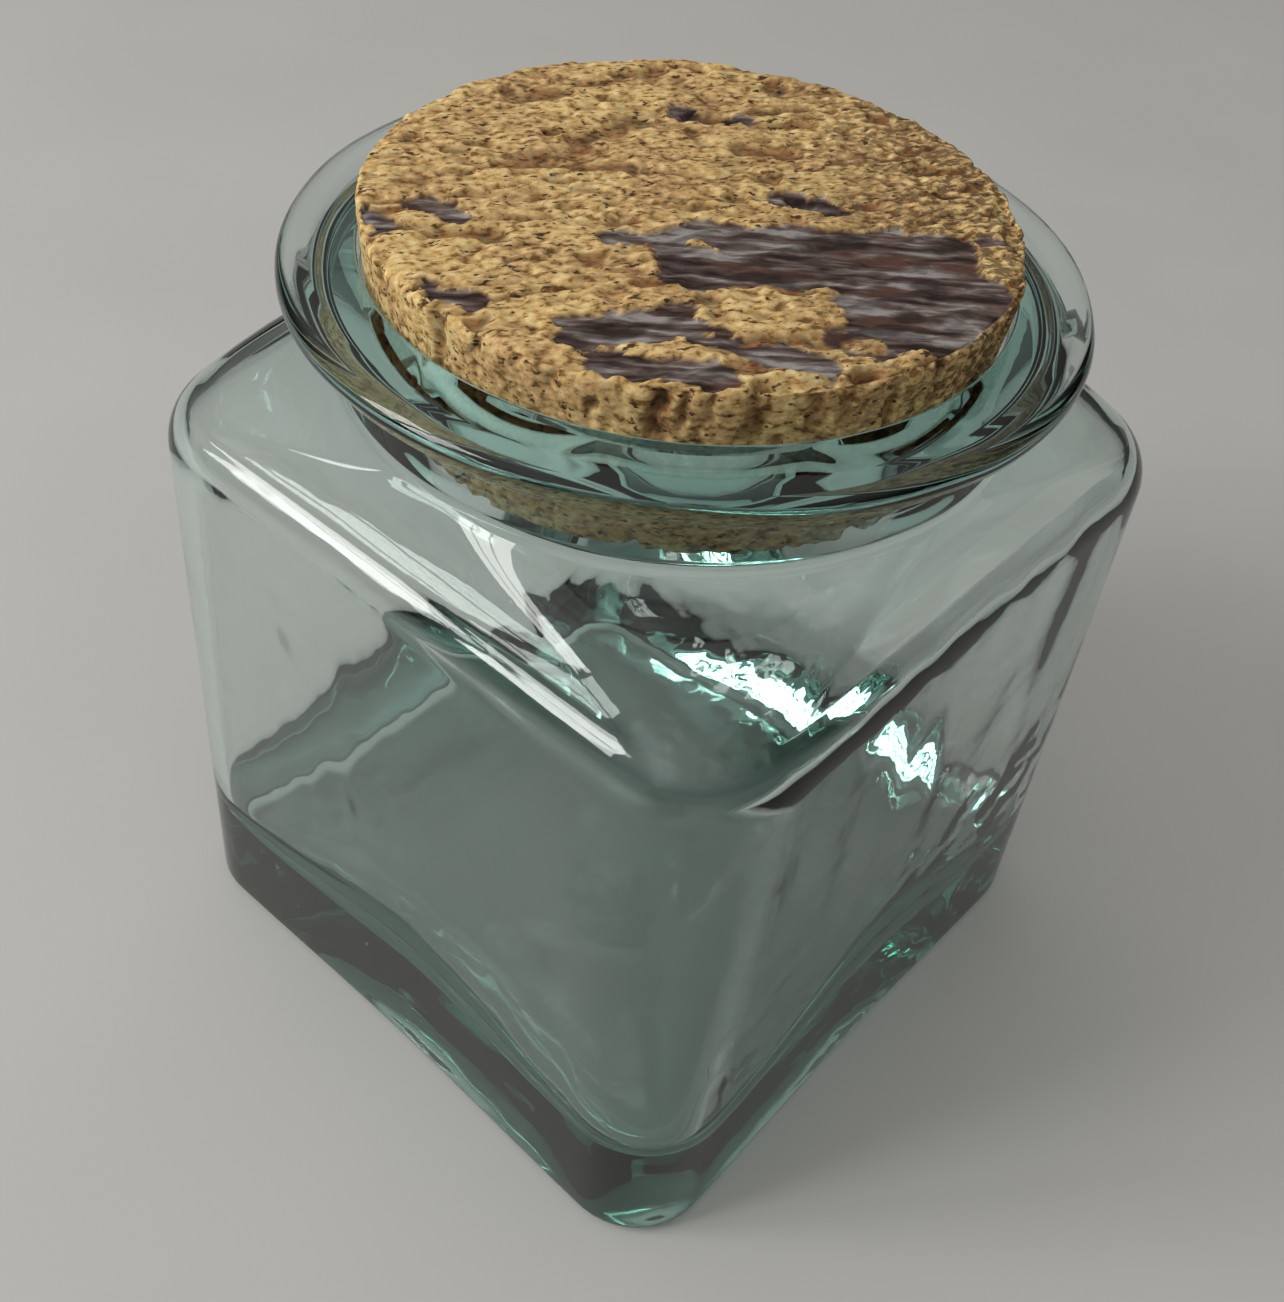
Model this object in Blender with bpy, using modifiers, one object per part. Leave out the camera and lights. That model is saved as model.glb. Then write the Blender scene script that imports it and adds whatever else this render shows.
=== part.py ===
"""Lidded glass canister: a square jar of thick glass with a round, flanged mouth, and a tapered
stopper of natural cork that lifts straight out of it.

Metres, +Z up. The origin is the middle of the jar's base, on the surface that it stands on, and
the jar's flat sides face along X and Y.
"""

from math import cos, pi, radians, sin, sqrt, tan

import bmesh
import bpy

# Jar: overall sizes
JAR_WIDTH = 0.1200  # across the flats, at the base
JAR_HEIGHT = 0.1397  # to the top of the flange

# Jar: body
SIDE_TAPER = 0.0008  # how far each side leans in between base and shoulder
BASE_CORNER_RADIUS = 0.0140
SHOULDER_CORNER_RADIUS = 0.0180
BASE_EDGE_RADIUS = 0.0026
SHOULDER_HEIGHT = 0.0182  # from the top of the upright sides to the neck
SHOULDER_EDGE_RADIUS = 0.0090
SHOULDER_EDGE_TURN = radians(52)  # how far that edge turns before the slope to the neck
SLOPE_AT_NECK = 0.6  # rise over run, where a corner's slope reaches the neck
WALL = 0.0040
FLOOR_THICKNESS = 0.0105
BOWL_HEIGHT = 0.0260  # of the inside of the thick base, from its flat floor up to the upright wall
FLAT_FLOOR = 0.0240  # half the width of that floor
FLAT_FLOOR_CORNER = 0.0100

# Jar: neck and flange
SHOULDER_LEDGE = 0.0092  # from the neck out to the middle of a side
NECK_HEIGHT = 0.0171
NECK_WALL = 0.0040  # at the top of the flange
FLANGE_OVERHANG = 0.0075  # past the neck
FLANGE_THICKNESS = 0.0044
MOUTH_EDGE_RADIUS = 0.0007

# Stopper
CORK_THICKNESS = 0.0259
CORK_PROUD = 0.0076  # how far it stands above the flange
CORK_NARROWING = 0.0025  # of its radius, from top to bottom
CORK_EDGE = 0.0010
CORK_CLEARANCE = 0.0003  # to the glass all round
BORE_PAST_CORK = 0.0020  # how far the mouth's bore runs on below the cork

# Facets
POINTS_AROUND_JAR = 64  # a multiple of four
STEPS_AROUND_CORK = 72
EDGE_STEPS = 4
SLOPE_STEPS = 6
BOWL_STEPS = 6

# What follows from them
SHOULDER_HALF_WIDTH = JAR_WIDTH / 2 - SIDE_TAPER
NECK_RADIUS = SHOULDER_HALF_WIDTH - SHOULDER_LEDGE
NECK_ROOT = JAR_HEIGHT - NECK_HEIGHT
SIDE_TOP = NECK_ROOT - SHOULDER_HEIGHT
MOUTH_RADIUS = NECK_RADIUS - NECK_WALL
CORK_TOP = JAR_HEIGHT + CORK_PROUD
CORK_BOTTOM = CORK_TOP - CORK_THICKNESS
CORK_SLOPE = CORK_NARROWING / CORK_THICKNESS


def cork_radius(height):
    """The stopper's radius at a height: a cone that clears the mouth where it enters it."""
    return MOUTH_RADIUS - CORK_CLEARANCE + CORK_SLOPE * (height - JAR_HEIGHT)


def clear_scene():
    for thing in list(bpy.data.objects):
        bpy.data.objects.remove(thing, do_unlink=True)


def new_collection(name):
    collection = bpy.data.collections.new(name)
    bpy.context.scene.collection.children.link(collection)
    return collection


def material(name, colour, roughness, transmission=0.0):
    made = bpy.data.materials.new(name)
    made.use_nodes = True
    shader = made.node_tree.nodes["Principled BSDF"]
    shader.inputs["Base Color"].default_value = (*colour, 1.0)
    shader.inputs["Roughness"].default_value = roughness
    shader.inputs["Metallic"].default_value = 0.0
    shader.inputs["Transmission Weight"].default_value = transmission
    return made


def add_object(name, mesh, collection, finish):
    thing = bpy.data.objects.new(name, mesh)
    collection.objects.link(thing)
    thing.data.materials.append(finish)
    return thing


def section(core, radius, height):
    """One level of the jar: a square of half side core, grown by radius. A core of 0 is a circle.

    Each corner's points stand half a step in from its ends, so that the flats between the corners
    stay flat and a circle's points are evenly spaced.
    """
    per_corner = POINTS_AROUND_JAR // 4
    points = []
    for corner in range(4):
        middle = (corner + 0.5) * pi / 2
        side_x = 1 if cos(middle) > 0 else -1
        side_y = 1 if sin(middle) > 0 else -1
        for step in range(per_corner):
            angle = (corner + (step + 0.5) / per_corner) * pi / 2
            x = side_x * core + radius * cos(angle)
            y = side_y * core + radius * sin(angle)
            points.append((x, y, height))
    return points


def body_section(height):
    """Core and corner radius of the jar's outside wall at a height."""
    share = (height - BASE_EDGE_RADIUS) / (SIDE_TOP - BASE_EDGE_RADIUS)
    half_width = JAR_WIDTH / 2 - SIDE_TAPER * share
    radius = BASE_CORNER_RADIUS + (SHOULDER_CORNER_RADIUS - BASE_CORNER_RADIUS) * share
    return half_width - radius, radius


def rounded(core, radius, centre_height, edge, start, end, steps=EDGE_STEPS):
    """Levels round an edge whose arc goes from angle start to end, in a section that reaches radius
    where the arc faces straight out."""
    levels = []
    for step in range(steps + 1):
        angle = start + (end - start) * step / steps
        levels.append((core, radius - edge + edge * cos(angle), centre_height + edge * sin(angle)))
    return levels


def slope(foot, neck_radius, neck_height):
    """Levels from a rounded square up to a round neck. Along a corner the height is a cubic curve
    that goes on from the rounded edge and reaches the neck at SLOPE_AT_NECK."""
    core, radius, foot_height = foot
    slope_at_foot = 1 / tan(SHOULDER_EDGE_TURN)
    run = core * sqrt(2) + radius - neck_radius
    rise = neck_height - foot_height
    levels = []
    for step in range(1, SLOPE_STEPS + 1):
        share = step / SLOPE_STEPS
        height = rise * share**2 * (3 - 2 * share)
        height += run * slope_at_foot * share * (1 - share) ** 2
        height -= run * SLOPE_AT_NECK * share**2 * (1 - share)
        level_radius = radius + (neck_radius - radius) * share
        levels.append((core * (1 - share), level_radius, foot_height + height))
    return levels


def jar_levels():
    """The glass from the outer edge of its foot, up the outside, over the lip and down the inside."""
    levels = []

    core, radius = body_section(BASE_EDGE_RADIUS)
    levels += rounded(core, radius, BASE_EDGE_RADIUS, BASE_EDGE_RADIUS, -pi / 2, 0)

    core, radius = body_section(SIDE_TOP)
    turn = rounded(core, radius, SIDE_TOP, SHOULDER_EDGE_RADIUS, 0, SHOULDER_EDGE_TURN)
    levels += turn
    levels += slope(turn[-1], NECK_RADIUS, NECK_ROOT)

    rim = FLANGE_THICKNESS / 2
    hollow = FLANGE_OVERHANG - rim
    for step in range(EDGE_STEPS + 1):
        angle = step / EDGE_STEPS * pi / 2
        out = NECK_RADIUS + hollow * (1 - cos(angle))
        levels.append((0, out, JAR_HEIGHT - FLANGE_THICKNESS - hollow * (1 - sin(angle))))
    flange_radius = NECK_RADIUS + FLANGE_OVERHANG
    turn = rounded(0, flange_radius, JAR_HEIGHT - rim, rim, -pi / 2, pi / 2, 2 * EDGE_STEPS)
    levels += turn[1:]

    for step in range(EDGE_STEPS + 1):
        angle = step / EDGE_STEPS * pi / 2
        out = MOUTH_RADIUS + MOUTH_EDGE_RADIUS * (1 - sin(angle))
        levels.append((0, out, JAR_HEIGHT - MOUTH_EDGE_RADIUS * (1 - cos(angle))))
    bore_bottom = CORK_BOTTOM - BORE_PAST_CORK
    bore_radius = cork_radius(bore_bottom) + CORK_CLEARANCE

    inner_round = max(SHOULDER_EDGE_RADIUS - WALL, MOUTH_EDGE_RADIUS)
    core, radius = body_section(SIDE_TOP)
    inner_turn = rounded(core, radius - WALL, SIDE_TOP, inner_round, 0, SHOULDER_EDGE_TURN)
    levels += reversed(slope(inner_turn[-1], bore_radius, bore_bottom))
    levels += reversed(inner_turn)

    levels += bowl()
    return levels


def bowl():
    """Levels down the inside of the thick base, a quarter of an ellipse from wall to flat floor."""
    core, radius = body_section(FLOOR_THICKNESS + BOWL_HEIGHT)
    flat_core = FLAT_FLOOR - FLAT_FLOOR_CORNER
    levels = []
    for step in range(BOWL_STEPS + 1):
        angle = step / BOWL_STEPS * pi / 2
        level_core = flat_core + (core - flat_core) * cos(angle)
        level_radius = FLAT_FLOOR_CORNER + (radius - WALL - FLAT_FLOOR_CORNER) * cos(angle)
        levels.append((level_core, level_radius, FLOOR_THICKNESS + BOWL_HEIGHT * (1 - sin(angle))))
    return levels


def glass_jar(collection):
    """The jar is lofted level by level, because its sections change from a rounded square to a
    circle and back, which no primitive or modifier makes."""
    shape = bmesh.new()
    rings = [[shape.verts.new(p) for p in section(*level)] for level in jar_levels()]
    for below, above in zip(rings, rings[1:]):
        for this in range(POINTS_AROUND_JAR):
            after = (this + 1) % POINTS_AROUND_JAR
            shape.faces.new((below[this], below[after], above[after], above[this]))
    shape.faces.new(reversed(rings[0]))
    shape.faces.new(rings[-1])
    mesh = bpy.data.meshes.new("glass_jar")
    shape.to_mesh(mesh)
    shape.free()
    finish = material("clear green-tinted glass", (0.55, 0.68, 0.63), 0.03, 1.0)
    jar = add_object("glass_jar", mesh, collection, finish)
    mesh.shade_smooth()
    mesh.set_sharp_from_angle(angle=pi / 5)
    return jar


def cork_lid(collection):
    """The stopper: a turned cone with small broken edges."""
    top = cork_radius(CORK_TOP)
    bottom = cork_radius(CORK_BOTTOM)
    profile = [
        (0, CORK_TOP),
        (top - CORK_EDGE, CORK_TOP),
        (top, CORK_TOP - CORK_EDGE),
        (bottom, CORK_BOTTOM + CORK_EDGE),
        (bottom - CORK_EDGE, CORK_BOTTOM),
        (0, CORK_BOTTOM),
    ]
    edges = [(i, i + 1) for i in range(len(profile) - 1)]
    mesh = bpy.data.meshes.new("cork_lid")
    mesh.from_pydata([(x, 0, z - CORK_BOTTOM) for x, z in profile], edges, [])
    finish = material("natural cork", (0.50, 0.31, 0.14), 0.9)
    cork = add_object("cork_lid", mesh, collection, finish)
    cork.location.z = CORK_BOTTOM
    turn = cork.modifiers.new("turned", "SCREW")
    turn.steps = STEPS_AROUND_CORK
    turn.render_steps = STEPS_AROUND_CORK
    turn.use_merge_vertices = True
    turn.merge_threshold = 0.00005
    return cork


clear_scene()
canister = new_collection("lidded glass canister")
glass_jar(canister)
cork_lid(canister)
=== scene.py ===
import bmesh
import bpy
import numpy as np
from mathutils import Matrix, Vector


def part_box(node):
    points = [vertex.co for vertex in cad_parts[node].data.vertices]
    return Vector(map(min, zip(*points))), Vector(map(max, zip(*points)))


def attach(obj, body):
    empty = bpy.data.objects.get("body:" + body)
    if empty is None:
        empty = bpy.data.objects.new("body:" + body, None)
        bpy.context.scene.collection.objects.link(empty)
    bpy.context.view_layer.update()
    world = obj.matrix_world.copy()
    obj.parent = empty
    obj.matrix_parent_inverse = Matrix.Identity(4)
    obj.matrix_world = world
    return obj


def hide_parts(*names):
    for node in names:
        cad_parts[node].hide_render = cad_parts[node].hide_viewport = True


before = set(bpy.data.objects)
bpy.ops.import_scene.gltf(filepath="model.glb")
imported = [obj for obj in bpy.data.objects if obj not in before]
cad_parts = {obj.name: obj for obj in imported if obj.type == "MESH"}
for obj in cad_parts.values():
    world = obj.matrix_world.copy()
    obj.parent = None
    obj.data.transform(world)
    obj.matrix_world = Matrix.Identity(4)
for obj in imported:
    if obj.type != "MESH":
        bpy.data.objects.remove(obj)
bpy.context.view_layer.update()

# Everything is in metres, in the part's own frame: +Z up, the jar's flat sides along X and Y.
MM = 0.001
jar_low, jar_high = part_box("glass_jar")
cork_low, cork_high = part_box("cork_lid")


# ---------------------------------------------------------------- small tools


def linear(code):
    """An sRGB hex colour as linear RGBA."""
    values = np.array([int(code[i : i + 2], 16) for i in (1, 3, 5)]) / 255
    low, high = values / 12.92, ((values + 0.055) / 1.055) ** 2.4
    return (*np.where(values <= 0.04045, low, high), 1.0)


def add(tree, kind, settings=None, **links):
    """Adds a shader node. settings are its properties, or its sockets by name or number. links join
    a socket, by its name with _ for a space, to an output of another node."""
    made = tree.nodes.new(kind)
    for key, value in (settings or {}).items():
        if isinstance(key, str) and key not in made.inputs:
            setattr(made, key, value)
        else:
            made.inputs[key].default_value = value
    for name, source in links.items():
        socket = int(name[1:]) if name[1:].isdigit() else name.replace("_", " ")
        tree.links.new(made.inputs[socket], source)
    return made


def mesh_piece(name, points, quads, material, body):
    """A smooth mesh from whole arrays of points and four-cornered faces."""
    mesh = bpy.data.meshes.new(name)
    mesh.vertices.add(len(points))
    mesh.vertices.foreach_set("co", np.asarray(points, np.float32).ravel())
    mesh.loops.add(quads.size)
    mesh.loops.foreach_set("vertex_index", quads.ravel().astype(np.int32))
    mesh.polygons.add(len(quads))
    mesh.polygons.foreach_set("loop_start", np.arange(0, quads.size, 4, dtype=np.int32))
    mesh.polygons.foreach_set("use_smooth", np.ones(len(quads), bool))
    mesh.update(calc_edges=True)
    piece = bpy.data.objects.new(name, mesh)
    bpy.context.scene.collection.objects.link(piece)
    mesh.materials.append(material)
    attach(piece, body)
    return piece


def ring_quads(rings, around):
    """Faces between neighbouring closed rings of points, ring after ring."""
    ring, step = np.meshgrid(np.arange(rings - 1), np.arange(around), indexing="ij")
    after = (step + 1) % around
    below, above = ring * around, (ring + 1) * around
    return np.stack([below + step, below + after, above + after, above + step], -1).reshape(-1, 4)


def arc(out, height, radius, start, end, count):
    """Points round an arc in a profile: its centre's place, and its angles from straight out."""
    angle = np.radians(np.linspace(start, end, count))
    return np.stack([out + radius * np.cos(angle), height + radius * np.sin(angle)], 1)


def smooth(value, low, high):
    """Goes smoothly from 0 at low to 1 at high."""
    share = np.clip((value - low) / (high - low), 0, 1)
    return share * share * (3 - 2 * share)


def hashed(cells, seed):
    """One repeatable random number from 0 to 1 for each whole-number cell (n x 3)."""
    words = cells.astype(np.int64).astype(np.uint32)
    mixed = words[:, 0] * np.uint32(0x8DA6B343) ^ words[:, 1] * np.uint32(0xD8163841)
    mixed ^= words[:, 2] * np.uint32(0xCB1AB31F) ^ np.uint32(seed * 0x9E3779B1 & 0xFFFFFFFF)
    for _ in range(2):
        mixed ^= mixed >> np.uint32(15)
        mixed *= np.uint32(0x2C1B3C6D)
        mixed ^= mixed >> np.uint32(12)
        mixed *= np.uint32(0x297A2D39)
    return (mixed ^ (mixed >> np.uint32(15))) / np.float64(0xFFFFFFFF)


def noise(points, size, seed):
    """Smooth noise from -1 to 1 whose bumps are about size apart: random values at the corners of a
    grid of cubes, blended between them by a smooth cubic."""
    places = points / size
    cell = np.floor(places)
    inside = places - cell
    blend = inside * inside * (3 - 2 * inside)
    total = np.zeros(len(points))
    for corner in np.ndindex(2, 2, 2):
        weight = np.prod(np.where(corner, blend, 1 - blend), axis=1)
        total += weight * hashed(cell + corner, seed)
    return total * 2 - 1


def layered(points, size, seed, layers=4, fall=0.5):
    """Noise with ever finer and weaker layers on top, still about -1 to 1."""
    total, weight, height = np.zeros(len(points)), 0.0, 1.0
    for layer in range(layers):
        total += height * noise(points, size / 2**layer, seed + layer)
        weight += height
        height *= fall
    return total / weight * 1.6


# ---------------------------------------------------------------- the glass jar

HALF_WIDTH = jar_high.x
LIP = jar_high.z
SIDE_TAPER = 0.8 * MM
BASE_CORNER = 14 * MM
SHOULDER_CORNER = 18 * MM
BASE_EDGE = 2.6 * MM
SIDE_TOP = LIP - 35.3 * MM
SHOULDER_EDGE = 9.0 * MM
EDGE_TURN = 52  # degrees
NECK_ROOT = LIP - 17.1 * MM
NECK = 50 * MM
SLOPE_AT_NECK = 0.6
FLANGE = 57.5 * MM
FLANGE_THICKNESS = 4.4 * MM
MOUTH_EDGE = 0.7 * MM
WALL = 3.6 * MM
INNER_ROUND = 5.0 * MM
FLOOR = 9.5 * MM
BOWL_AT_SIDE = 31 * MM
BOWL_AT_CORNER = 17 * MM
BOWL_LEAN = 3 * MM
MOAT = 22 * MM
MOAT_CORNER = 12 * MM
BANK_SLOPE = 0.1
DOME = 1.5 * MM
PUNT = 0.4 * MM
PUNT_FOOT, PUNT_TOP = 38 * MM, 27 * MM
SIDE_SINK = 0.8 * MM
CORK_GAP = 0.3 * MM
CORK_EDGE_RADIUS = cork_high.x
CORK_FOOT_RADIUS = cork_high.x - 2.5 * MM
AROUND = 256


def body_size(height):
    """Core and corner radius of the outside wall at a height."""
    share = (height - BASE_EDGE) / (SIDE_TOP - BASE_EDGE)
    half = HALF_WIDTH - SIDE_TAPER * share
    radius = BASE_CORNER + (SHOULDER_CORNER - BASE_CORNER) * share
    return half - radius, radius


def rounded_square(core, radius, angle):
    """How far a square of half side core, grown by radius, reaches in each direction: the flat's
    distance over the cosine, or where the direction leaves the corner's circle."""
    along, across = np.abs(np.cos(angle)), np.abs(np.sin(angle))
    near, far = np.minimum(along, across), np.maximum(along, across)
    flat = (core + radius) / far
    reach = core * (along + across)
    corner = reach + np.sqrt(np.maximum(reach**2 - 2 * core**2 + radius**2, 0))
    return np.where(flat * near <= core, flat, corner)


def edge_levels(core, radius, height, edge, start, end, count):
    """Levels (core, radius, height) round an edge of the wall's profile."""
    turn = arc(radius - edge, height, edge, start, end, count)
    return np.column_stack([np.full(count, core), turn])


def slope(foot, radius, height, count):
    """Levels from a rounded square up to a round neck, along a cubic curve seen over a corner."""
    core, foot_radius, foot_height = foot
    share = np.linspace(0, 1, count)[1:]
    run = core * 2**0.5 + foot_radius - radius
    rise = (height - foot_height) * share**2 * (3 - 2 * share)
    rise += run / np.tan(np.radians(EDGE_TURN)) * share * (1 - share) ** 2
    rise -= run * SLOPE_AT_NECK * share**2 * (1 - share)
    level_radius = foot_radius + (radius - foot_radius) * share
    return np.column_stack([core * (1 - share), level_radius, foot_height + rise])


def straight(start, end, count):
    """Levels on a straight line from one to another, without the first."""
    return np.linspace(start, end, count)[1:]


def round_levels(profile):
    """Levels of a round stretch, from its profile's points."""
    return np.column_stack([np.zeros(len(profile)), profile])


def jar_levels():
    """The glass, level by level: up the outside, over the lip and down the inside."""
    foot = edge_levels(*body_size(BASE_EDGE), BASE_EDGE, BASE_EDGE, -90, 0, 10)
    core, radius = body_size(SIDE_TOP)
    turn = edge_levels(core, radius, SIDE_TOP, SHOULDER_EDGE, 0, EDGE_TURN, 10)
    rim, hollow = FLANGE_THICKNESS / 2, FLANGE - NECK - FLANGE_THICKNESS / 2
    root = np.array([0, NECK, NECK_ROOT])
    under = round_levels(arc(NECK + hollow, LIP - FLANGE_THICKNESS - hollow, hollow, 180, 90, 10))
    edge = round_levels(arc(FLANGE - rim, LIP - rim, rim, -90, 90, 16))
    bore_foot = cork_low.z - 2 * MM
    bore_slope = (CORK_EDGE_RADIUS - CORK_FOOT_RADIUS) / (cork_high.z - cork_low.z)
    mouth_radius = CORK_FOOT_RADIUS + CORK_GAP + bore_slope * (LIP - cork_low.z)
    foot_radius = CORK_FOOT_RADIUS + CORK_GAP + bore_slope * (bore_foot - cork_low.z)
    mouth = round_levels(arc(mouth_radius + MOUTH_EDGE, LIP - MOUTH_EDGE, MOUTH_EDGE, 90, 180, 6))
    inner_turn = edge_levels(core, radius - WALL, SIDE_TOP, INNER_ROUND, 0, EDGE_TURN, 8)
    ceiling = slope(inner_turn[-1], foot_radius, bore_foot, 24)[::-1]
    return np.vstack([
        foot, straight(foot[-1], turn[0], 50), turn[1:], slope(turn[-1], NECK, NECK_ROOT, 24),
        straight(root, under[0], 5), under[1:], edge[1:], straight(edge[-1], mouth[0], 8), mouth[1:],
        straight(mouth[-1], ceiling[0], 14), ceiling[1:], inner_turn[::-1],
    ])


def placed(out, angle, height):
    """Points at a distance out from the middle, in each direction, at a height."""
    out, angle, height = np.broadcast_arrays(out, angle, height)
    return np.stack([out * np.cos(angle), out * np.sin(angle), height], -1)


def bowl(angle):
    """The inside of the thick base, from the wall down to a moat round a raised floor. The banks are
    part of an ellipse leant into a straight slope, and start high in the middle of each side and low
    in the corners; the floor rises in a smooth hump to its middle."""
    side = np.cos(2 * angle) ** 2
    lean = BOWL_LEAN * (np.cos(angle) + np.sin(angle))
    start = BOWL_AT_CORNER + (BOWL_AT_SIDE + lean - BOWL_AT_CORNER) * side
    core, radius = body_size(FLOOR + BOWL_AT_CORNER)
    wall = rounded_square(core, radius - WALL, angle)
    flat = rounded_square(MOAT - MOAT_CORNER, MOAT_CORNER, angle)
    turn = np.radians(np.linspace(0, 90, 50))[:, None]
    bank = BANK_SLOPE * (np.hypot(np.cos(turn), 0.1) - 0.1) / 0.905
    bank = bank + (1 - BANK_SLOPE) * (1 - np.sin(turn))
    banks = placed(flat + (wall - flat) * np.cos(turn), angle, FLOOR + start * bank)
    size = np.linspace(1, 0, 40)[1:, None]
    hump = DOME * (1 - smooth(size, -0.2, 1)) * (1 + 0 * angle)
    return np.concatenate([banks, placed(flat * size, angle, FLOOR + hump)])


def underside(angle):
    """The foot's flat rim and the shallow panel pushed up inside it, ring by ring from the middle
    out: the foot's outline shrunk to each size, as high as a smooth step between two sizes."""
    core, radius = body_size(BASE_EDGE)
    size = np.linspace(0, core + radius - BASE_EDGE, 60)[:-1, None]
    foot = rounded_square(core, radius - BASE_EDGE, angle)
    rise = PUNT * (1 - smooth(size, PUNT_TOP, PUNT_FOOT))
    return placed(foot * size / (core + radius - BASE_EDGE), angle, rise)


def ripples(points):
    """How unevenly the molten glass has settled, as a push in mm along each axis for points in mm:
    slow swells all over, long drips down the walls, and dimples in the back of the thick base."""
    back = smooth(points[:, 1], -12, 24) * (1 - smooth(points[:, 2], 42, 62))
    pushes = []
    for seed in (201, 211, 221):
        swell = 0.35 * noise(points, 24, seed)
        drips = 0.16 * noise(points / (1, 1, 4), 7, seed + 1)
        dimples = (0.03 + 0.33 * back) * layered(points, 4.5, seed + 2, 3)
        pushes.append(swell + drips + dimples)
    return np.stack(pushes, 1)


def sunk(points):
    """The outside with the middle of each flat side sunk a little, most at the foot: by a smooth
    hump along the side, fading upwards."""
    low = 1 - smooth(points[..., 2], 0, SIDE_TOP)
    plan = np.abs(points[..., :2])
    along = plan.min(-1) / HALF_WIDTH
    sink = SIDE_SINK * (0.25 + 0.75 * low) * (1 - smooth(along, 0, 0.85))
    sink = sink * (points[..., 2] < NECK_ROOT) * smooth(plan.max(-1), 0.7 * HALF_WIDTH, HALF_WIDTH)
    pulled = points.copy()
    for axis in (0, 1):
        side = plan[..., axis] >= plan[..., 1 - axis]
        pulled[..., axis] -= np.sign(points[..., axis]) * sink * side
    return pulled


def uneven_rim(points):
    """The flange as a tool has pressed it: let down and drawn in a little by smooth noise."""
    out = np.linalg.norm(points[..., :2], axis=-1)
    loose = smooth(out, 47.5 * MM, 51 * MM) * smooth(points[..., 2], NECK_ROOT, LIP - 8 * MM)
    flat = points.reshape(-1, 3) / MM
    drop = 0.5 + 0.42 * noise(flat, 17, 231) + 0.08 * noise(flat, 8, 232)
    draw = 0.5 + 0.5 * noise(flat * (1, 1, 0.5), 19, 233)
    moved = points.copy()
    moved[..., 2] -= 0.8 * MM * loose * drop.reshape(out.shape)
    moved[..., :2] *= (1 - 0.5 * MM * loose * draw.reshape(out.shape) / np.maximum(out, MM))[..., None]
    return moved


def glass_jar(material):
    """One closed skin, ring after ring: from the middle of the underside up the outside, over the
    lip, down the inside and in to the middle of the bowl."""
    levels = jar_levels()
    angle = np.arange(AROUND) / AROUND * 2 * np.pi
    core, radius, height = (levels[:, i, None] for i in range(3))
    shell = placed(rounded_square(core, radius, angle), angle, height)
    base = bowl(angle)
    share = np.linspace(0, 1, 60)[1:-1, None, None]
    wall = shell[-1] * (1 - share) + base[0] * share

    mouth = int(np.argmax(levels[:, 2] > LIP - 1e-9)) + 1
    inner = np.concatenate([shell[mouth:], wall, base])
    loose = smooth(LIP - inner[..., 2:], 24 * MM, 36 * MM)
    inner = inner + ripples(inner.reshape(-1, 3) / MM).reshape(inner.shape) * MM * loose
    outer = uneven_rim(sunk(np.concatenate([underside(angle), shell[:mouth]])))
    rings = np.concatenate([outer, inner])
    quads = ring_quads(len(rings), AROUND)
    piece = mesh_piece("glass_jar_body", rings.reshape(-1, 3), quads, material, "jar")
    close_poles(piece)
    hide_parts("glass_jar")
    return piece


def close_poles(piece):
    """Joins the points that lie on each other where rings have shrunk to a pole."""
    mesh = bmesh.new()
    mesh.from_mesh(piece.data)
    bmesh.ops.remove_doubles(mesh, verts=mesh.verts, dist=1e-7)
    mesh.to_mesh(piece.data)
    mesh.free()


# ---------------------------------------------------------------- the cork stopper

CORK_EDGE = 1.2 * MM
GRAIN = 58  # degrees from +X, the way the plank's layers run across the top
CORK_AROUND = 864

# Marks on the stopper, in mm: lines from (x, y) to (x, y) over the top, and how far each reaches.
BARK = [
    (11, -11, 32, 10, 7.5), (28, 2, 39, 6, 8.0), (36, -9, 41, -2, 6.0), (0, -16, 9, -4, 2.6),
    (16, 2, 30, 17, 3.5), (12, -36, 20, -24, 3.6), (19, -38, 29, -31, 2.6), (23, -26, 37, -19, 1.8),
    (-24, -29, -16, -29, 1.7), (-26, -36, -22, -37, 2.2), (-7, -43, -1, -42, 1.9),
    (8, 10, 15, 13, 1.7), (-19, 19, -12, 24, 2.0), (33, 22, 38, 24, 1.5),
]
TAN_ISLANDS = [(21, -20, 31, -10, 2.6), (36, -13, 39, -11, 1.2), (8, -9, 11, -8, 0.8), (1, -13, 3, -12, 0.7)]
SLITS = [
    (0.4, -39.6, 5.7, -27.9, 0.45), (-29.5, 13, -27, 16, 0.5), (-27, -2, -25, 1, 0.5),
    (-31, -13.5, -29, -10.5, 0.6), (-27.5, -22, -25, -18.5, 0.7), (-20, -20, -18, -16.5, 0.4),
    (-18, -14, -13, -7, 0.3), (-12, -23, -9, -19, 0.8), (-5, -31, -2, -27, 0.5), (6, 24, 9, 28, 0.5),
    (-8, 2, -5, 4, 0.8), (-30, 30, -27, 33, 0.9), (1, 46, 3, 47, 1.0), (20, 26, 24, 30, 0.4),
]
HOLLOWS = [(-17, 20, -13, 23, 1.6), (9, 11, 14, 12.5, 1.2), (41.8, -16.8, 42.4, -16, 1.7)]
CHIPS = [(19, 44, 26, 40, 1.8), (31, 33, 36, 28, 2.6), (38, 27, 44, 20, 1.5), (40, -22, 36, -28, 1.6)]

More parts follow.
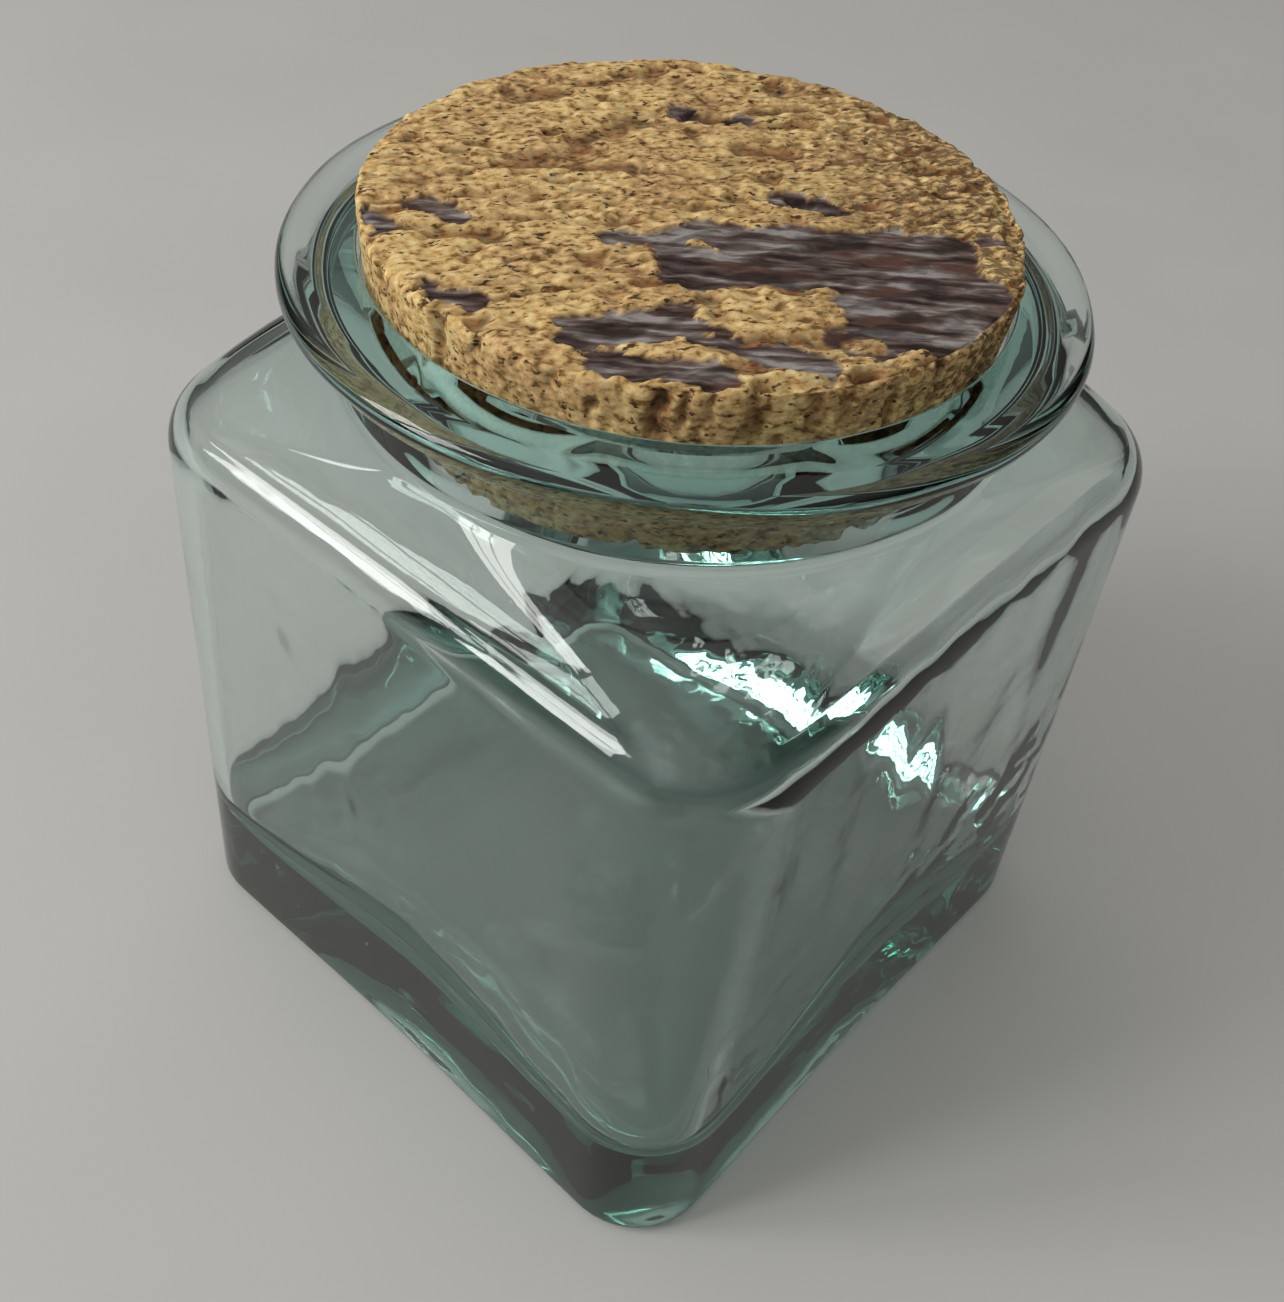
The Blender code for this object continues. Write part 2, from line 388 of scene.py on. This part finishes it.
# The channels down the side: where round the stopper (degrees), how wide and how deep (mm).
CHANNELS = [
    (-126, 0.7, 0.6), (-109, 0.6, 0.8), (-92, 1.0, 1.5), (-84, 0.6, 0.8), (-70, 0.5, 0.7),
    (-54, 1.6, 1.9), (-50, 0.8, 1.6), (-46, 0.6, 0.9), (-40, 1.4, 1.5), (-31, 1.2, 1.2),
    (-25, 0.8, 0.9), (-8, 0.9, 1.2), (13, 1.2, 1.4), (38, 0.8, 1.0), (61, 1.3, 1.5), (77, 0.6, 0.9),
    (98, 0.9, 1.2), (124, 1.3, 1.4), (139, 0.7, 0.9), (163, 1.0, 1.3), (-172, 1.4, 1.2), (-148, 0.8, 1.1),
]


def inside(plan, marks):
    """How far each point lies inside the nearest of some marks, less than 0 outside them."""
    best = np.full(len(plan), -100.0)
    for x1, y1, x2, y2, reach in marks:
        line, offset = np.array([x2 - x1, y2 - y1]), plan - (x1, y1)
        share = np.clip(offset @ line / (line @ line), 0, 1)
        best = np.maximum(best, reach - np.linalg.norm(offset - share[:, None] * line, axis=1))
    return best


def cork_relief(points, up):
    """How far below its cut shape the cork lies at each point, all in mm, and how much each point is
    bark or pit. up is 1 on the top and 0 on the side. The top is layered noise stretched along the
    grain with pits where it runs low; bark patches are sunk sheets; the side has the open channels."""
    turn = np.radians(GRAIN)
    along = points[:, 0] * np.cos(turn) + points[:, 1] * np.sin(turn)
    across = points[:, 1] * np.cos(turn) - points[:, 0] * np.sin(turn)
    grain = np.stack([along, across, points[:, 2]], 1)
    plan = points[:, :2]
    ragged = layered(grain / (1.7, 1, 1), 3.2, 11, 4, 0.6)

    crumb = layered(grain / (1.5, 1, 1), 1.5, 21, 2)
    pits = smooth(noise(grain / (2.4, 1, 1), 2.5, 31) - 0.25 * crumb, 0.38, 0.75)
    swell = 0.5 + 0.5 * noise(points, 15, 41)
    island = smooth(inside(plan, TAN_ISLANDS) + 1.1 * ragged, 0, 0.4)
    bark = smooth(inside(plan, BARK) + 2.1 * ragged, 0, 0.3) * (1 - island)
    streaks = layered(grain @ turned(16) / (7, 1, 1), 1.6, 51, 3)
    slit = smooth(inside(plan, SLITS) + 0.25 * crumb, -0.25, 0.5)
    hollow = smooth(inside(plan, HOLLOWS) + 0.5 * crumb, -0.8, 0.9)
    chip = smooth(inside(plan, CHIPS) + 0.7 * ragged, -0.9, 0.8)
    rough = 0.5 * smooth(crumb, -0.5, 0.8) + 0.8 * pits
    sheet = 0.75 + 0.28 * streaks
    top = 0.35 * swell + (1 - bark) * rough + bark * sheet + 1.3 * slit + 1.8 * hollow + 1.3 * chip

    around = np.degrees(np.arctan2(points[:, 1], points[:, 0]))
    drop = cork_high.z / MM - points[:, 2]
    wander = 1.1 * layered(points, 3.5, 61, 2)
    channel = np.zeros(len(points))
    for middle, width, depth in CHANNELS:
        gap = ((around - middle + 180) % 360 - 180) * np.pi / 180 * cork_high.x / MM + wander
        length = 1 - smooth(drop + 2 * ragged, 2.5 + 2.5 * width, 4 + 4 * width)
        across_it = np.exp(-np.abs(gap / width) ** 3) * length
        channel = np.maximum(channel, depth * across_it * (0.6 + 0.5 * ragged))
    stringy = layered(points / (1, 1, 2.6), 1.8, 71, 3)
    side = 0.35 * (0.5 + 0.5 * noise(points, 9, 81)) + 0.3 * smooth(stringy, -0.3, 0.8)
    holes = smooth(noise(points / (1, 1, 1.8), 2.2, 91), 0.5, 0.8)
    side += channel + 0.8 * holes

    reach = np.linalg.norm(plan, axis=1) - cork_high.x / MM
    wear = smooth(reach, -3.0, 0) * smooth(-drop, -2.5, 0) * (0.45 + 0.55 * noise(points, 5, 95))
    depth = up * top + (1 - up) * (side + 0.6 * chip) + np.maximum(wear, 0) * 0.8
    cracks = 0.5 * smooth(-streaks, 0.2, 0.8) * bark
    pit = up * np.maximum.reduce([0.75 * pits, 0.45 * smooth(crumb, 0.25, 0.7), slit, hollow, cracks])
    pit += (1 - up) * np.maximum(0.85 * np.clip(channel, 0, 1), 0.6 * holes)
    return np.clip(depth, 0.02, 4.0), bark * smooth(up, 0.2, 0.8), np.clip(pit, 0, 1)


def turned(degrees):
    """A turn about the upright axis, for rows of points."""
    cosine, sine = np.cos(np.radians(degrees)), np.sin(np.radians(degrees))
    return np.array([[cosine, -sine, 0], [sine, cosine, 0], [0, 0, 1]])


def cork_levels():
    """The stopper's outline from the middle of its underside up to its top edge: how far out, how
    high, and which way it faces (out, up)."""
    top, foot, edge = CORK_EDGE_RADIUS, CORK_FOOT_RADIUS, CORK_EDGE
    low, high = cork_low.z, cork_high.z
    parts = []
    for out, height, start, end, count in (
        (foot - edge, low + edge, -90, 0, 5), (top - edge, high - edge, 0, 90, 8)
    ):
        angle = np.radians(np.linspace(start, end, count))
        rim = np.stack([np.cos(angle), np.sin(angle)], 1)
        parts.append(np.hstack([(out, height) + edge * rim, rim]))
    under = np.linspace((0, low, 0, -1), parts[0][0], 7)[:-1]
    share = np.concatenate([np.linspace(0, 0.55, 10)[1:], np.linspace(0.55, 1, 26)[1:-1]])
    side = parts[0][-1] + (parts[1][0] - parts[0][-1]) * share[:, None]
    return np.vstack([under, parts[0], side, parts[1]])


def disc(count):
    """A square grid bent to a disc of radius 1: each square ring becomes a circle, and each of its
    sides a quarter turn of it."""
    u, v = np.meshgrid(np.linspace(-1, 1, count), np.linspace(-1, 1, count), indexing="ij")
    wide = np.abs(u) >= np.abs(v)
    size = np.where(wide, u, v)
    ratio = np.where(wide, v, u) / np.where(size == 0, 1, size)
    angle = np.where(wide, ratio, 2 - ratio) * np.pi / 4
    return np.stack([size * np.cos(angle), size * np.sin(angle)], -1)


def cork_stopper(material):
    """The rings of the underside and side, and a disc grid of the top that meets the last of them,
    each point moved inwards by the relief."""
    levels = cork_levels()
    angle = np.arange(CORK_AROUND) / CORK_AROUND * 2 * np.pi
    out, height, facing_out, facing_up = (levels[:, i, None] for i in range(4))
    rings, ring_faces = placed(out, angle, height), placed(facing_out, angle, facing_up)
    flat = disc(CORK_AROUND // 4 + 1)
    count = len(flat)
    top = np.dstack([flat * (CORK_EDGE_RADIUS - CORK_EDGE), np.full((count, count), cork_high.z)])
    points = np.vstack([rings.reshape(-1, 3), top.reshape(-1, 3)])
    faces = np.vstack([ring_faces.reshape(-1, 3), np.tile((0.0, 0.0, 1.0), (count * count, 1))])
    depth, bark, pit = cork_relief(points / MM, np.clip(faces[:, 2], 0, 1))
    points = points - faces * depth[:, None] * MM

    first, row = len(levels) * CORK_AROUND, np.arange(count - 1)
    cell = first + row[:, None] * count + row
    grid = np.stack([cell, cell + count, cell + count + 1, cell + 1], -1).reshape(-1, 4)
    quads = np.vstack([ring_quads(len(levels), CORK_AROUND), grid])
    piece = mesh_piece("cork_stopper_body", points, quads, material, "lid")
    for name, values in (("bark", bark), ("pit", pit)):
        layer = piece.data.attributes.new(name, "FLOAT", "POINT")
        layer.data.foreach_set("value", values.astype(np.float32))
    close_poles(piece)
    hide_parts("cork_lid")
    return piece


# ---------------------------------------------------------------- materials


def new_material(name):
    """An empty material and its node tree."""
    material = bpy.data.materials.new(name)
    material.use_nodes = True
    material.node_tree.nodes.clear()
    return material, material.node_tree


def recycled_glass():
    """Soda-lime glass remelted from bottles and fire-polished: almost clear where it is thin, and
    grey-green to deep teal where it is thick, because its iron takes out the red. Its skin has
    waves about 6 mm apart, longer down the walls, that bend highlights a little."""
    material, tree = new_material("recycled soda-lime glass, fire-polished")
    waves = add(tree, "ShaderNodeTexNoise", {"Scale": 1.0, "Detail": 1.0},
                Vector=stretched(tree, 6 * MM, drop=2.0)).outputs["Fac"]
    skin = add(tree, "ShaderNodeBump", {"Strength": 0.12, "Distance": 0.12 * MM}, Height=waves)
    shader = add(tree, "ShaderNodeBsdfPrincipled", {
        "Base Color": (1, 1, 1, 1), "Roughness": 0.0, "IOR": 1.52, "Transmission Weight": 1.0},
        Normal=skin.outputs[0])
    tint = add(tree, "ShaderNodeVolumeAbsorption", {"Color": linear("#82D1C5"), "Density": 36.0})
    add(tree, "ShaderNodeOutputMaterial", Surface=shader.outputs[0], Volume=tint.outputs[0])
    return material


def mix(tree, factor, first, second):
    """A colour between two, each a fixed colour or another node's output."""
    node = add(tree, "ShaderNodeMix", {"data_type": "RGBA"}, _0=factor)
    for socket, colour in ((6, first), (7, second)):
        if isinstance(colour, str):
            node.inputs[socket].default_value = linear(colour)
        else:
            tree.links.new(node.inputs[socket], colour)
    return node.outputs[2]


def ramp(tree, factor, *stops):
    """A colour ramp with stops (place, hex colour)."""
    node = add(tree, "ShaderNodeValToRGB", Fac=factor)
    while len(node.color_ramp.elements) < len(stops):
        node.color_ramp.elements.new(1.0)
    for element, (place, colour) in zip(node.color_ramp.elements, stops):
        element.position, element.color = place, linear(colour)
    return node.outputs["Color"]


def stretched(tree, size, degrees=0.0, long=1.0, drop=1.0):
    """Object coordinates in units of size (metres), turned about the upright axis and stretched."""
    place = add(tree, "ShaderNodeTexCoord").outputs["Object"]
    turn = add(tree, "ShaderNodeMapping", {
        "vector_type": "TEXTURE", "Rotation": (0, 0, np.radians(degrees)),
        "Scale": (size * long, size, size * drop)}, Vector=place)
    return turn.outputs[0]


def natural_cork():
    """A plank of cork-oak bark. The cut cork is tan and crumbly with brown specks about 1 mm long, and
    darker and redder in its open channels. Towards +X+Y, away from the window, the specks thicken
    as painted shade. Sheets of older back bark are violet brown with grey streaks along the plank.
    It is dull all over."""
    material, tree = new_material("natural cork with patches of back bark")
    bark = add(tree, "ShaderNodeAttribute", {"attribute_name": "bark"}).outputs["Fac"]
    pit = add(tree, "ShaderNodeAttribute", {"attribute_name": "pit"}).outputs["Fac"]

    def grains(size, detail, degrees=GRAIN, long=1.0, drop=1.0, rough=0.5):
        return add(tree, "ShaderNodeTexNoise", {"Scale": 1.0, "Detail": detail, "Roughness": rough},
                   Vector=stretched(tree, size, degrees, long, drop)).outputs["Fac"]

    crumbs = ramp(tree, grains(1.0 * MM, 3.0, long=1.5), (0.34, "#80673F"), (0.44, "#C4A673"),
                  (0.54, "#D9BE8C"), (0.68, "#ECD6AA"))
    broad = ramp(tree, grains(12 * MM, 2.0), (0.38, "#9A8A72"), (0.62, "#DCC6A4"))
    toned = add(tree, "ShaderNodeMix", {"data_type": "RGBA", "blend_type": "OVERLAY", 0: 0.45},
                _6=crumbs, _7=broad).outputs[2]
    specks = add(tree, "ShaderNodeMapRange", {"From Min": 0.60, "From Max": 0.68},
                 Value=grains(0.8 * MM, 2.0, long=2.2)).outputs[0]
    # Painted shade: the cork darkens towards +X+Y, away from the window, as more of it turns to dark flecks
    # (#5C4934). The flecks are the cork's own, but their one-sided gradient is painted shade.
    place = add(tree, "ShaderNodeTexCoord").outputs["Object"]
    aside = add(tree, "ShaderNodeVectorMath", {"operation": "DOT_PRODUCT", 1: (0.74, 0.67, 0)},
                _0=place).outputs["Value"]
    painted_shade_side = add(tree, "ShaderNodeMapRange", {"From Min": 4 * MM, "From Max": 34 * MM, "To Max": 0.8},
               Value=aside).outputs[0]
    flecks = add(tree, "ShaderNodeMapRange", {"From Min": 0.45, "From Max": 0.56},
                 Value=grains(0.9 * MM, 3.0, long=1.6)).outputs[0]
    flecks_as_painted_shade = add(tree, "ShaderNodeMath", {"operation": "MULTIPLY"}, _0=painted_shade_side, _1=flecks).outputs[0]
    speckled = mix(tree, specks, mix(tree, flecks_as_painted_shade, toned, "#5C4934"), "#4A3827")
    dark = ramp(tree, grains(1.5 * MM, 2.0), (0.40, "#2E1C12"), (0.62, "#7E4526"))
    tan = mix(tree, pit, speckled, dark)
    sheets = ramp(tree, grains(1.6 * MM, 4.0, degrees=GRAIN - 16, long=6.0), (0.36, "#2C201E"),
                  (0.46, "#54433F"), (0.54, "#71635F"), (0.62, "#9A9593"))
    rust = add(tree, "ShaderNodeMapRange", {"From Min": 0.55, "From Max": 0.68},
               Value=grains(5 * MM, 3.0, degrees=GRAIN - 16, long=2.5)).outputs[0]
    sheet = mix(tree, pit, mix(tree, rust, sheets, "#5B3F35"), "#241A1A")
    colour = mix(tree, bark, tan, sheet)
    rises = add(tree, "ShaderNodeBump", {"Strength": 0.6, "Distance": 0.25 * MM},
                Height=grains(0.7 * MM, 4.0, long=1.4, rough=0.6))
    shader = add(tree, "ShaderNodeBsdfPrincipled", {"Roughness": 0.9, "Specular IOR Level": 0.25},
                 Base_Color=colour, Normal=rises.outputs[0])
    add(tree, "ShaderNodeOutputMaterial", Surface=shader.outputs[0])
    return material


def plain_floor():
    """Emulsion paint rolled on board: dull, with cloudiness a hand wide that is barely seen."""
    material, tree = new_material("emulsion-painted board")
    clouds = add(tree, "ShaderNodeTexNoise", {"Scale": 1.0, "Detail": 2.0},
                 Vector=stretched(tree, 90 * MM)).outputs["Fac"]
    paint = ramp(tree, clouds, (0.3, "#C0BFBD"), (0.7, "#C4C3C1"))
    shader = add(tree, "ShaderNodeBsdfPrincipled", {"Roughness": 0.7}, Base_Color=paint)
    add(tree, "ShaderNodeOutputMaterial", Surface=shader.outputs[0])
    return material


# ---------------------------------------------------------------- stage, light and camera


def stage_floor():
    """The board the jar stands on, a hair below it so that no two faces share a plane."""
    reach = 6.0
    low = -0.3 * MM
    corners = [(-reach, -reach, low), (reach, -reach, low), (reach, reach, low), (-reach, reach, low)]
    mesh = bpy.data.meshes.new("floor")
    mesh.from_pydata(corners, [], [(0, 1, 2, 3)])
    mesh.materials.append(plain_floor())
    floor = bpy.data.objects.new("floor", mesh)
    bpy.context.scene.collection.objects.link(floor)


WINDOW_SIDE = (-0.45, -0.69, 0.56)  # which way the window lies
WINDOW_PLACE, WINDOW_AIM = (-0.53, -0.81, 0.72), (0, 0, 0.08)
WINDOW_POWER = 7.2  # watts, over all its panes
PANE = (0.22, 0.2)
PANE_ACROSS, PANE_UP = 0.27, 0.23  # from one pane to the next


def soft_room():
    """A room with a bright ceiling, dimmer towards eye level, and brighter round its window."""
    world = bpy.data.worlds.new("soft room")
    world.use_nodes = True
    tree = world.node_tree
    tree.nodes.clear()
    way = add(tree, "ShaderNodeTexCoord").outputs["Generated"]
    up = add(tree, "ShaderNodeSeparateXYZ", Vector=way).outputs["Z"]
    shade = ramp(tree, up, (0.0, "#3C3C3A"), (0.25, "#63625F"), (0.7, "#BDBCB9"))
    near = add(tree, "ShaderNodeVectorMath", {"operation": "DOT_PRODUCT", 1: WINDOW_SIDE}, _0=way)
    glow = add(tree, "ShaderNodeMapRange", {
        "From Min": -0.5, "From Max": 0.9, "To Min": 0.35, "To Max": 1.74}, _0=near.outputs["Value"])
    background = add(tree, "ShaderNodeBackground", Color=shade, Strength=glow.outputs[0])
    add(tree, "ShaderNodeOutputWorld", Surface=background.outputs[0])
    bpy.context.scene.world = world


def area_light(name, place, aim, size, power, colour):
    """A rectangular light at a place, facing its aim, with its sides level."""
    lamp = bpy.data.lights.new(name, "AREA")
    lamp.shape = "RECTANGLE"
    lamp.size, lamp.size_y = size
    lamp.energy = power
    lamp.color = linear(colour)[:3]
    thing = bpy.data.objects.new(name, lamp)
    bpy.context.scene.collection.objects.link(thing)
    thing.location = place
    away = np.array(place) - np.array(aim)
    back = away / np.linalg.norm(away)
    right = np.cross((0, 0, 1), back)
    right /= np.linalg.norm(right)
    up = np.cross(back, right)
    turn = Matrix(np.stack([right, up, back], 1).tolist())
    thing.rotation_mode = "QUATERNION"
    thing.rotation_quaternion = turn.to_quaternion()
    return thing


def window(place, aim, power):
    """A tall window of six panes."""
    away = np.array(place) - np.array(aim)
    right = np.cross((0, 0, 1), away)
    right /= np.linalg.norm(right)
    up = np.cross(away, right)
    up /= np.linalg.norm(up)
    for row in (-1, 0, 1):
        for column in (-0.5, 0.5):
            middle = np.array(place) + right * column * PANE_ACROSS + up * row * PANE_UP
            area_light("window pane", middle.tolist(), aim, PANE, power / 6, "#FDFCF8")


def camera():
    """Looks down at the front edge of the jar, nearly along the diagonal of its base."""
    data = bpy.data.cameras.new("camera")
    data.sensor_width = 36.0
    data.lens = 41.17
    data.shift_x, data.shift_y = 0.0123, -0.0081
    thing = bpy.data.objects.new("camera", data)
    bpy.context.scene.collection.objects.link(thing)
    right = np.array([0.7355, 0.6733, 0.0755])
    down = np.array([0.5104, -0.4774, -0.7152])
    forward = np.array([-0.4455, 0.5646, -0.6948])
    turn = Matrix(np.stack([right, -down, -forward], 1).tolist())
    thing.rotation_mode = "QUATERNION"
    thing.rotation_quaternion = turn.to_quaternion()
    thing.location = (115.1 * MM, -150.8 * MM, 244.8 * MM)
    bpy.context.scene.camera = thing


glass_jar(recycled_glass())
cork_stopper(natural_cork())
stage_floor()
soft_room()
window(WINDOW_PLACE, WINDOW_AIM, WINDOW_POWER)
camera()
bpy.context.scene.view_settings.view_transform = "Standard"
